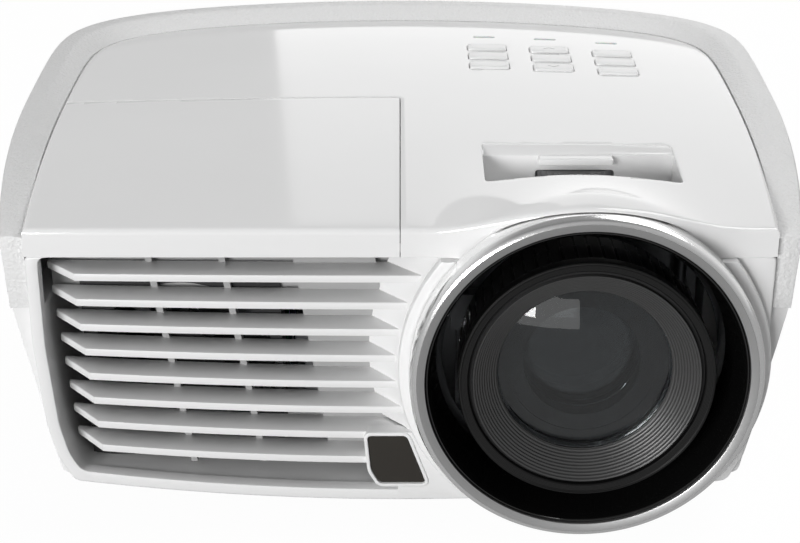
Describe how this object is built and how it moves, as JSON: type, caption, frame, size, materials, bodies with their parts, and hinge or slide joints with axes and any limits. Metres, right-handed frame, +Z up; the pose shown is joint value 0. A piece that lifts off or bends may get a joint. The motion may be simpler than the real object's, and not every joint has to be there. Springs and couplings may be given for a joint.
{
  "type": "projector with disc player",
  "caption": "Home projector with lens shift, focus and zoom rings, slatted front grille, lamp door, keypad, sockets, screw feet and a side-loading disc tray.",
  "frame": {"origin": "on the surface that the feet stand on, under the middle of the overall box", "axes": "+Z up, the lens and grille face -Y, +X to the right seen from the front"},
  "size_m": [0.332, 0.2612, 0.1634],
  "materials": {
    "gloss_white": "injection-moulded gloss ABS",
    "satin_white": "satin moulded plastic",
    "grained_grey": "fine leather grain, matte",
    "key_white": "satin",
    "ring_silver": "bead blasted with a bright turned edge",
    "gloss_black": "high gloss",
    "lens_black": "satin black anodised",
    "lens_glass": "coated glass",
    "window_dark": "dark infrared-clear gloss",
    "dial_grey": "ribbed, satin",
    "brass": "turned",
    "light_pipe": "clear light pipe",
    "port_metal": "nickel plated",
    "port_black": "satin",
    "panel_grey": "fine texture",
    "board_green": "solder mask on glass laminate",
    "lamp_shell": "heat-resistant moulding",
    "mirror_coat": "dichroic coating",
    "burner_quartz": "quartz and ceramic",
    "die_cast": "die cast",
    "wheel_glass": "dichroic filter segments",
    "motor_steel": "satin",
    "fan_black": "moulded",
    "drive_steel": "zinc plated sheet",
    "tray_black": "satin moulded",
    "foot_black": "rubber and moulded knob"
  },
  "bodies": {
    "body": {"top_cover": "gloss_white", "collar": "grained_grey", "front_bezel": "satin_white", "grille": "satin_white", "base_pan": "satin_white", "rear_panel": "panel_grey", "trim_ring": "ring_silver", "lens_funnel": "gloss_black", "lens_mount": "die_cast", "ir_window": "window_dark", "key_board": "board_green", "status_lights": "light_pipe", "video_ports": "port_metal", "audio_jacks": "port_black", "power_inlet": "port_black", "main_board": "board_green", "power_supply": "board_green", "lamp_housing": "lamp_shell", "lamp_reflector": "mirror_coat", "lamp_burner": "burner_quartz", "light_tunnel": "mirror_coat", "engine_housing": "die_cast", "chip_board": "board_green", "wheel_motor": "motor_steel", "fan_frame": "fan_black", "speaker": "fan_black", "drive_chassis": "drive_steel"},
    "lamp_door": {"lamp_door": "gloss_white"},
    "lens_shift": {"lens_barrel": "lens_black", "lens_carriage": "die_cast"},
    "focus": {"focus_ring": "lens_black"},
    "zoom": {"zoom_ring": "lens_black"},
    "front_lens": {"lens_cone": "lens_black", "front_glass": "lens_glass"},
    "zoom_lens": {"inner_glass": "lens_glass"},
    "shift_dial": {"shift_dial": "dial_grey", "shift_screw": "brass"},
    "colour_wheel": {"colour_wheel": "wheel_glass"},
    "fan": {"fan_rotor": "fan_black"},
    "tray": {"disc_tray": "tray_black", "tray_front": "satin_white"},
    "eject": {"eject_button": "key_white"},
    "disc_hub": {"disc_hub": "motor_steel"},
    "sled": {"laser_sled": "drive_steel"},
    "front_foot_wheel": {"front_foot_wheel": "foot_black"},
    "front_foot": {"front_foot_stem": "foot_black"},
    "left_foot_wheel": {"left_foot_wheel": "foot_black"},
    "left_foot": {"left_foot_stem": "foot_black"},
    "right_foot_wheel": {"right_foot_wheel": "foot_black"},
    "right_foot": {"right_foot_stem": "foot_black"},
    "key_menu": {"key_menu": "key_white"},
    "key_up": {"key_up": "key_white"},
    "key_source": {"key_source": "key_white"},
    "key_left": {"key_left": "key_white"},
    "key_enter": {"key_enter": "key_white"},
    "key_right": {"key_right": "key_white"},
    "key_auto": {"key_auto": "key_white"},
    "key_down": {"key_down": "key_white"},
    "key_power": {"key_power": "key_white"}
  },
  "joints": [
    {"name": "lamp_door_lift", "type": "slide", "parent": "body", "child": "lamp_door", "axis": [0, 0, 1], "range_m": [0, 0.06]},
    {"name": "shift_dial_turn", "type": "hinge", "parent": "body", "child": "shift_dial", "pos_m": [0.0723, -0.03735, 0.129], "axis": [0, 0, 1], "range_deg": [-360, 360]},
    {"name": "lens_shift_slide", "type": "slide", "parent": "body", "child": "lens_shift", "axis": [0, 0, 1], "range_m": [-0.004, 0.004]},
    {"name": "focus_turn", "type": "hinge", "parent": "lens_shift", "child": "focus", "pos_m": [0.0723, -0.12865, 0.0748], "axis": [0, 1, 0], "range_deg": [-60, 60]},
    {"name": "front_lens_slide", "type": "slide", "parent": "lens_shift", "child": "front_lens", "axis": [0, 1, 0], "range_m": [-0.0005, 0.0005]},
    {"name": "zoom_turn", "type": "hinge", "parent": "lens_shift", "child": "zoom", "pos_m": [0.0723, -0.10765, 0.0748], "axis": [0, 1, 0], "range_deg": [-20, 20]},
    {"name": "zoom_lens_slide", "type": "slide", "parent": "lens_shift", "child": "zoom_lens", "axis": [0, 1, 0], "range_m": [-0.001, 0.001]},
    {"name": "colour_wheel_spin", "type": "hinge", "parent": "body", "child": "colour_wheel", "pos_m": [-0.048, -0.03335, 0.0528], "axis": [1, 0, 0], "continuous": true},
    {"name": "fan_spin", "type": "hinge", "parent": "body", "child": "fan", "pos_m": [-0.088, -0.09635, 0.065], "axis": [0, 1, 0], "continuous": true},
    {"name": "tray_slide", "type": "slide", "parent": "body", "child": "tray", "axis": [1, 0, 0], "range_m": [0, 0.126]},
    {"name": "eject_press", "type": "slide", "parent": "tray", "child": "eject", "axis": [-1, 0, 0], "range_m": [0, 0.0006], "stiffness_N_per_m": 300},
    {"name": "disc_spin", "type": "hinge", "parent": "tray", "child": "disc_hub", "pos_m": [0.076, 0.01815, 0.029], "axis": [0, 0, 1], "continuous": true},
    {"name": "sled_slide", "type": "slide", "parent": "tray", "child": "sled", "axis": [-1, 0, 0], "range_m": [0, 0.02]},
    {"name": "front_foot_turn", "type": "hinge", "parent": "body", "child": "front_foot_wheel", "pos_m": [0, -0.07335, 0.013], "axis": [0, 0, 1], "range_deg": [0, 1440]},
    {"name": "front_foot_slide", "type": "slide", "parent": "body", "child": "front_foot", "axis": [0, 0, -1], "range_m": [0, 0.00601]},
    {"name": "left_foot_turn", "type": "hinge", "parent": "body", "child": "left_foot_wheel", "pos_m": [-0.112, 0.07265, 0.013], "axis": [0, 0, 1], "range_deg": [0, 1440]},
    {"name": "left_foot_slide", "type": "slide", "parent": "body", "child": "left_foot", "axis": [0, 0, -1], "range_m": [0, 0.00601]},
    {"name": "right_foot_turn", "type": "hinge", "parent": "body", "child": "right_foot_wheel", "pos_m": [0.112, 0.08665, 0.013], "axis": [0, 0, 1], "range_deg": [0, 1440]},
    {"name": "right_foot_slide", "type": "slide", "parent": "body", "child": "right_foot", "axis": [0, 0, -1], "range_m": [0, 0.00601]},
    {"name": "key_menu_press", "type": "slide", "parent": "body", "child": "key_menu", "axis": [0, 0, -1], "range_m": [0, 0.0007], "stiffness_N_per_m": 250},
    {"name": "key_up_press", "type": "slide", "parent": "body", "child": "key_up", "axis": [0, 0, -1], "range_m": [0, 0.0007], "stiffness_N_per_m": 250},
    {"name": "key_source_press", "type": "slide", "parent": "body", "child": "key_source", "axis": [0, 0, -1], "range_m": [0, 0.0007], "stiffness_N_per_m": 250},
    {"name": "key_left_press", "type": "slide", "parent": "body", "child": "key_left", "axis": [0, 0, -1], "range_m": [0, 0.0007], "stiffness_N_per_m": 250},
    {"name": "key_enter_press", "type": "slide", "parent": "body", "child": "key_enter", "axis": [0, 0, -1], "range_m": [0, 0.0007], "stiffness_N_per_m": 250},
    {"name": "key_right_press", "type": "slide", "parent": "body", "child": "key_right", "axis": [0, 0, -1], "range_m": [0, 0.0007], "stiffness_N_per_m": 250},
    {"name": "key_auto_press", "type": "slide", "parent": "body", "child": "key_auto", "axis": [0, 0, -1], "range_m": [0, 0.0007], "stiffness_N_per_m": 250},
    {"name": "key_down_press", "type": "slide", "parent": "body", "child": "key_down", "axis": [0, 0, -1], "range_m": [0, 0.0007], "stiffness_N_per_m": 250},
    {"name": "key_power_press", "type": "slide", "parent": "body", "child": "key_power", "axis": [0, 0, -1], "range_m": [0, 0.0007], "stiffness_N_per_m": 250}
  ],
  "couplings": [
    {"joint": "shift_dial_turn", "follows": "lens_shift_slide", "rad_per_m": 1570.6},
    {"joint": "front_lens_slide", "follows": "focus_turn", "m_per_rad": 0.00047742},
    {"joint": "zoom_lens_slide", "follows": "zoom_turn", "m_per_rad": 0.0028645},
    {"joint": "front_foot_slide", "follows": "front_foot_turn", "m_per_rad": 0.00023871},
    {"joint": "left_foot_slide", "follows": "left_foot_turn", "m_per_rad": 0.00023871},
    {"joint": "right_foot_slide", "follows": "right_foot_turn", "m_per_rad": 0.00023871}
  ]
}
